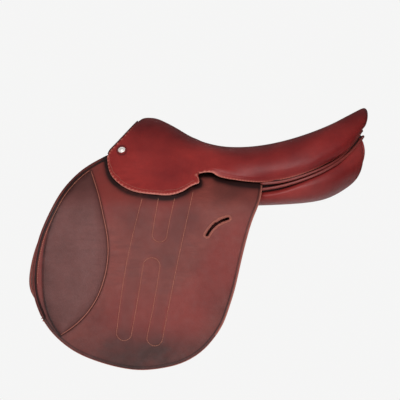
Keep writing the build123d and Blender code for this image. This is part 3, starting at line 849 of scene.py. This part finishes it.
def flap_masks(flat, gap, skirt_edge):
    """Where the flap's leather is patinated, ruddy or pressed by the billets, where shade and the skirt's
    shadow are painted on it, and where its edges are worn with a painted highlight.
    """
    x, z = flat[..., 0], flat[..., 1]
    foot = smooth((-0.205 - z) / 0.055) * smooth(1.15 - np.abs(x + 0.15) / 0.16)
    clouds = np.sin(x * 31 + 1.3) * np.sin(z * 27 - x * 12 + 0.4) + np.sin(x * 17 - z * 21 + 2.2)
    # Painted shade: darker along the outline, round the knee pad and in the front and edge creases.
    painted_shade = np.exp(-(gap["edge"] / 0.004)) * 0.5 + groove(gap["pad"], width=0.0028, depth=0.8)
    painted_shade += groove(gap["front"] - FRONT_CREASE, width=0.0014, depth=1.0)
    painted_shade += groove(gap["edge"] - EDGE_CREASE, width=0.0009, depth=0.6)
    # painted shadow of the skirt's edge on the flap
    painted_shade += groove(distance(flat, skirt_edge - [0, SKIRT_SHADE]), width=0.007, depth=1.4)
    # Pale line on the rear edge and the slot's lip: wear with a painted highlight.
    wear_and_highlight = groove(gap["rear"], width=0.0014, depth=1.0)
    wear_and_highlight += groove(gap["slot"] - SLOT_LIP, width=0.0012, depth=0.9)
    channels = inside(flat, STRAP_SEAM) ^ inside(flat, TONGUE_SEAM)
    return {"patina": np.clip(foot + 0.45 * smooth(clouds - 0.9), 0, 1),
            "ruddy": smooth(0.35 - clouds * 0.5),
            "channel": channels * smooth(gap["seams"] / 0.009),
            "edge_painted_shade": np.clip(painted_shade, 0, 1),
            "wear_and_edge_highlight": wear_and_highlight}


def build_flap(side_name, skirt_edge):
    """Flap leather from under the skirt to its rounded foot, with its creases, slot and stitching."""
    flat = coons(FLAP_TOP, FLAP_BOTTOM, FLAP_FRONT, FLAP_REAR, 250, 260)
    slot_line = curve2(SLOT_LINE, 40)
    flat = snap(flat, slot_line, SLOT_RADIUS, reach=0.0011)
    middle = (flat[:-1, :-1] + flat[1:, :-1] + flat[:-1, 1:] + flat[1:, 1:]) / 4
    cuts = distance(middle, slot_line) < SLOT_RADIUS
    gap = flap_distances(flat)
    grid = on_flap(flat, flap_relief(flat, gap) + sway(flat) + 0.0003)
    piece = leather(f"flap_leather_{side_name}", grid, FLAP_LEATHER, FLAP, SIDES[side_name], normals(grid),
                    flap_masks(flat, gap, skirt_edge), cuts)
    fold(piece)
    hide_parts(f"flap_top_{side_name}", f"flap_{side_name}")
    stitch_flap(side_name)
    stitch_slot(side_name)


def stitch_flap(side_name):
    """Stitches of the billet channels and of the flap's double front edge."""
    front = curve2(FLAP_FRONT, 160)
    seam = (front + directions(front)[1] * FRONT_SEAM)[20:132]
    paths = [on_flap(line, sway(line) + 0.0004) for line in (STRAP_SEAM, TONGUE_SEAM)]
    paths.append(on_flap(seam, sway(seam) + 0.0003))
    row = stitches(f"flap_stitching_{side_name}", paths, out_of_flap, THREAD_PALE, SIDES[side_name])
    fold(row)


def stitch_slot(side_name):
    """Short stitches round the keeper slot."""
    line = around(curve2(SLOT_LINE, 40), SLOT_SEAM)
    row = stitches(f"slot_stitching_{side_name}", [on_flap(line, sway(line) + 0.0004)], out_of_flap,
                   THREAD_PALE, SIDES[side_name], pitch=0.0026, length=0.0018)
    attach(row, f"flap_{side_name}")


def snap(flat, line, radius, reach):
    """Moves side-view points within reach of the contour at radius from the line onto it."""
    moved = flat.copy()
    for index in zip(*np.nonzero(np.abs(distance(flat, line) - radius) < reach)):
        point = flat[index]
        feet = []
        for a, b in zip(line[:-1], line[1:]):
            t = np.clip(((point - a) @ (b - a)) / ((b - a) @ (b - a)), 0, 1)
            feet.append(a + t * (b - a))
        foot = min(feet, key=lambda candidate: norm(point - candidate))
        away = point - foot
        moved[index] = foot + away / norm(away) * radius
    return moved


def fold(piece):
    """Bakes a flap piece's transform into its points."""
    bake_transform(piece)


def build_pad(side_name):
    """Domed knee pad in a softer leather, sewn into the front of the flap, with its piping."""
    side = SIDES[side_name]
    front, rear = curve2(PAD_FRONT, 150), curve2(PAD_REAR, 150)
    s = np.linspace(0, 1, 70)[None, :, None]
    flat = (1 - s) * front[:, None] + s * rear[:, None]
    t = np.linspace(0, 1, 150)[:, None]
    across = np.sin(math.pi * s[..., 0] ** 1.8)
    rise = PAD_RISE * across ** 0.6 * np.sin(math.pi * t) ** 0.45
    grid = on_flap(flat, PAD_LEATHER - rise)
    d_rim = np.minimum(distance(flat, front), distance(flat, rear))
    # Painted shade along the pad's seams and over its upper part, where the dome turns from the light.
    painted_shade = np.clip(np.exp(-(d_rim / 0.0045)) + 0.6 * smooth(flat[..., 1] / 0.05), 0, 1)
    piece = leather(f"knee_pad_leather_{side_name}", grid, PAD_LEATHER, PAD, side, normals(grid),
                    {"edge_painted_shade": painted_shade})
    sewn = np.ones(len(piece.data.vertices), bool)
    sewn[:d_rim.size] = d_rim.ravel() < PAD_SEWN
    settle(piece, np.flatnonzero(sewn), 0.0012)
    fold(piece)
    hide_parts(f"knee_pad_{side_name}")
    edging = tube(f"knee_pad_piping_{side_name}", on_flap(rear, -0.0004), 0.0010, PIPING, side, 8)
    fold(edging)


def behind_flap(outline, rows, columns, depth):
    """Grid and normals of a flat piece that lies depth below the flap's face, below the fold."""
    flat = coons(*outline, rows, columns)
    return on_flap(flat, depth), flap_out(np.full(flat.shape[:2], BELOW_FOLD))


def build_under(side_name):
    """Under flap behind the flap."""
    grid, out = behind_flap((UNDER_TOP, UNDER_BOTTOM, UNDER_FRONT, UNDER_REAR), 70, 90, UNDER_DEPTH)
    piece = leather(f"under_flap_{side_name}", grid, UNDER_LEATHER, UNDER, SIDES[side_name], out)
    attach(piece, "saddle")
    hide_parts(f"sweat_flap_{side_name}")


def build_block(side_name):
    """Knee block that shows in front of the flap."""
    grid, out = behind_flap((BLOCK_TOP, BLOCK_BOTTOM, BLOCK_FRONT, BLOCK_REAR), 60, 24, BLOCK_DEPTH)
    block = leather(f"knee_block_leather_{side_name}", grid, BLOCK_THICK, UNDER, SIDES[side_name], out,
                    rim_turn=8)
    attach(block, "saddle")
    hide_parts(f"knee_block_{side_name}")


def end_cap(ring, bulge):
    """Rings that close a cushion's end in a rounded cap, from the given ring outward."""
    centre = ring.mean(axis=0)
    turns = np.arange(0.2, 1.5, 0.2)
    return [centre + (ring - centre) * math.cos(turn) + [bulge * math.sin(turn), 0, 0] for turn in turns]


def build_panel(side_name):
    """Stuffed panel: smooth closed cushion with rounded ends."""
    ribs = np.asarray(PANEL_RIBS, float) / 1000
    wrapped = np.concatenate([ribs, ribs, ribs], axis=1).transpose(1, 0, 2)
    turns = 72
    loops = cubic(wrapped, 3 * turns + 1, np.arange(len(wrapped)))[turns:2 * turns]
    body = cubic(loops.transpose(1, 0, 2), 150)
    front, rear = end_cap(body[0], -PANEL_BULGE), end_cap(body[-1], PANEL_BULGE)
    grid = np.concatenate([front[::-1], body, rear])
    # The ribs run the other way round than the rings of a cord, so each face is turned over
    faces = [face[:1] + face[:0:-1] for face in ring_faces(len(grid), turns)]
    piece = mesh_object(f"panel_cushion_{side_name}", grid.reshape(-1, 3), faces, PANEL, SIDES[side_name])
    ring = np.arange(turns)
    sewn = (ring < turns * 0.42) | (ring > turns * 0.9)
    settle(piece, np.flatnonzero(np.tile(sewn, len(grid))), 0.003)
    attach(piece, "saddle")
    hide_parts(f"panel_{side_name}")


def settle(piece, pinned, reach):
    """Fills a stuffed piece: cloth under pressure, its sewn points pinned and its movement capped."""
    seams = piece.vertex_groups.new(name="seams")
    seams.add([int(k) for k in pinned], 1.0, "REPLACE")
    cloth = piece.modifiers.new("cloth", "CLOTH")
    settings = cloth.settings
    settings.quality = 4
    settings.mass = 0.3
    settings.tension_stiffness = 25
    settings.compression_stiffness = 25
    settings.bending_stiffness = 4
    settings.use_pressure = True
    settings.uniform_pressure_force = 4
    settings.vertex_group_mass = "seams"
    settings.effector_weights.gravity = 0
    scene = bpy.context.scene
    for step in range(1, CLOTH_STEPS + 1):
        scene.frame_set(step)
    filled = piece.evaluated_get(bpy.context.evaluated_depsgraph_get())
    count = len(piece.data.vertices)
    before, after = np.zeros(count * 3), np.zeros(count * 3)
    piece.data.vertices.foreach_get("co", before)
    filled.data.vertices.foreach_get("co", after)
    move = (after - before).reshape(-1, 3)
    length = norm(move, axis=1, keepdims=True)
    move *= np.minimum(1, reach / (length + 1e-12))
    piece.modifiers.remove(cloth)
    piece.vertex_groups.remove(seams)
    piece.data.vertices.foreach_set("co", before + move.ravel())
    piece.data.update()
    scene.frame_set(1)


def level_inward(line):
    """Level unit vectors from a line round the cantle towards the middle of the seat."""
    inward = ([0.09, 0, 0.08] - line) * [1, 1, 0]
    return inward / (norm(inward, axis=1, keepdims=True) + 1e-9)


def build_cantle():
    """Welts and the facing between them, round the cantle; the facing's near-black colour is painted shade
    of the hollow under the cantle's lip.
    """
    upper, lower = round_cantle(WELT_UPPER, 320), round_cantle(WELT_LOWER, 320)
    for name, path, node in (("seat_piping", upper, "cantle_welt"), ("panel_piping", lower, "panel_welt")):
        piece = tube(name, path, WELT_RADIUS, WELT)
        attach(piece, "saddle")
        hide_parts(node)
    rows = []
    for t in np.linspace(-0.6, 1, 13):
        line = upper * (1 - t) + lower * t
        pull = math.sin(math.pi * max(t, 0)) * 0.0045 + FACING_DEPTH
        rows.append(line + level_inward(line) * pull)
    for t in np.linspace(0.2, 1, 6):
        rows.append(lower + level_inward(lower) * (FACING_DEPTH + 0.016 * t) - [0, 0, 0.018 * t])
    grid = np.array(rows)[:, ::-1]
    facing = leather("cantle_facing_leather", grid, 0.0015, DARK, 1, normals(grid))
    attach(facing, "saddle")
    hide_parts("cantle_facing")


def build_pommel(grid):
    """Dark facing on the sloping front of the pommel."""
    rim = grid[:, 0]
    rim = np.concatenate([rim[::-1], rim[1:] * [1, -1, 1]])[4:-4]
    forward = np.array([-0.73, 0, 0.68])
    inward = [-0.205, 0, 0.085] - rim
    inward -= np.outer(inward @ forward, forward)
    inward /= norm(inward, axis=1, keepdims=True)
    rows = []
    for t in np.linspace(0, 1, 8):
        lift = 0.0022 * math.sin(math.pi * min(1, 0.35 + t))
        rows.append(rim + inward * (t * 0.012 - 0.001) + forward * lift)
    strip = np.array(rows)[:, ::-1]
    piece = leather("pommel_facing_leather", strip, 0.002, DARK, 1, normals(strip))
    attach(piece, "saddle")
    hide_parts("pommel_facing")


def build_nail(side_name, grid):
    """Domed nickel head nail seated in the leather."""
    flat = grid.reshape(-1, 3)
    index = int(np.argmin(np.abs(flat[:, 0] - NAIL_X) + np.abs(flat[:, 2] - NAIL_Z)))
    centre, out = flat[index], normals(grid).reshape(-1, 3)[index]
    across = np.cross(out, (1.0, 0, 0))
    across /= norm(across)
    ahead = np.cross(across, out)
    rings = [circle(centre + out * height, ahead, across, radius, 40) for radius, height in NAIL_PROFILE]
    piece = skin(f"head_nail_{side_name}", rings, NICKEL, SIDES[side_name])
    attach(piece, "saddle")
    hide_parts("saddle_nails")


def dress_frame():
    """Materials of the CAD nodes that stay as they are, by how their names start."""
    looks = {"tree_frame": BEECH, "seat_foam": FOAM, "seat_webs": WEB, "girth_web": WEB, "web_tails": WEB,
             "head_plate": STEEL, "bar_rivets": STEEL, "catch_pins": STEEL, "stirrup_bar": STEEL,
             "bar_catch": STEEL, "billet": STRAP}
    for name, node in frame["nodes"].items():
        for start, material in looks.items():
            if name.startswith(start):
                node.data.materials.clear()
                node.data.materials.append(material)


def light(name, place, target, size, power):
    """Soft rectangular studio light aimed at a point."""
    data = bpy.data.lights.new(name, "AREA")
    data.shape = "RECTANGLE"
    data.size, data.size_y = size
    data.energy = power
    lamp = bpy.data.objects.new(name, data)
    lamp.location = place
    lamp.rotation_euler = (Vector(target) - Vector(place)).to_track_quat("-Z", "Y").to_euler()
    bpy.context.collection.objects.link(lamp)
    return lamp


def daylight():
    """Pale backdrop for the camera; everything else is lit by a dome that is brighter overhead."""
    world = bpy.data.worlds.new("studio")
    world.use_nodes = True
    add, link = world.node_tree.nodes.new, world.node_tree.links.new
    sky = world.node_tree.nodes["Background"]
    preset(sky, {"Color": (0.915, 0.915, 0.912, 1)})
    height = add("ShaderNodeSeparateXYZ")
    link(add("ShaderNodeTexCoord").outputs["Generated"], height.inputs[0])
    dome = add("ShaderNodeMapRange")
    preset(dome, {"From Min": 0.0, "From Max": 1.0, "To Min": 0.04, "To Max": 0.35})
    link(height.outputs["Z"], dome.inputs["Value"])
    level = add("ShaderNodeMix")
    preset(level, {"B": 1.0})
    link(add("ShaderNodeLightPath").outputs["Is Camera Ray"], level.inputs["Factor"])
    link(dome.outputs["Result"], level.inputs["A"])
    link(level.outputs["Result"], sky.inputs["Strength"])
    bpy.context.scene.world = world
    bpy.context.scene.view_settings.view_transform = "Standard"


def long_lens():
    """Camera square to the near side and far off, so that the view is almost without perspective."""
    data = bpy.data.cameras.new("camera")
    data.sensor_width = 36
    data.lens = data.sensor_width * CAMERA_AWAY / VIEW_WIDTH
    camera = bpy.data.objects.new("camera", data)
    camera.location = (-0.0498, -0.17 - CAMERA_AWAY, 0.0089)
    camera.rotation_euler = (math.radians(90), 0, 0)
    bpy.context.collection.objects.link(camera)
    bpy.context.scene.camera = camera


def studio():
    """Backdrop, pale floor, soft lights and the camera."""
    daylight()
    pale = rough_material("floor_paint", (238, 238, 238), (232, 232, 232), scale=4, stretch=(1, 1, 1),
                          roughness=0.8, depth=0.0001)
    bpy.ops.mesh.primitive_circle_add(vertices=128, radius=1.4, fill_type="NGON", location=(0, 0, FLOOR_Z))
    floor = bpy.context.object
    floor.name = "floor"
    floor.data.materials.append(pale)
    light("key", (-0.5, -2.5, 1.35), (-0.05, -0.1, 0), (1.8, 1.2), 56)
    light("side", (1.3, -2.5, 0.45), (0.05, -0.1, 0.05), (1.5, 1.5), 30)
    behind = light("back", (0.8, 2.5, 1.3), (0, 0, 0), (1.8, 1.2), 52)
    behind.visible_glossy = False
    long_lens()


dress_frame()
for side_name in SIDES:
    seat_points = build_seat(side_name)
    build_nail(side_name, seat_points)
    build_flap(side_name, seat_points[-1, :, ::2])
    build_pad(side_name)
    build_under(side_name)
    build_block(side_name)
    build_panel(side_name)
build_cantle()
build_pommel(seat_points)
studio()
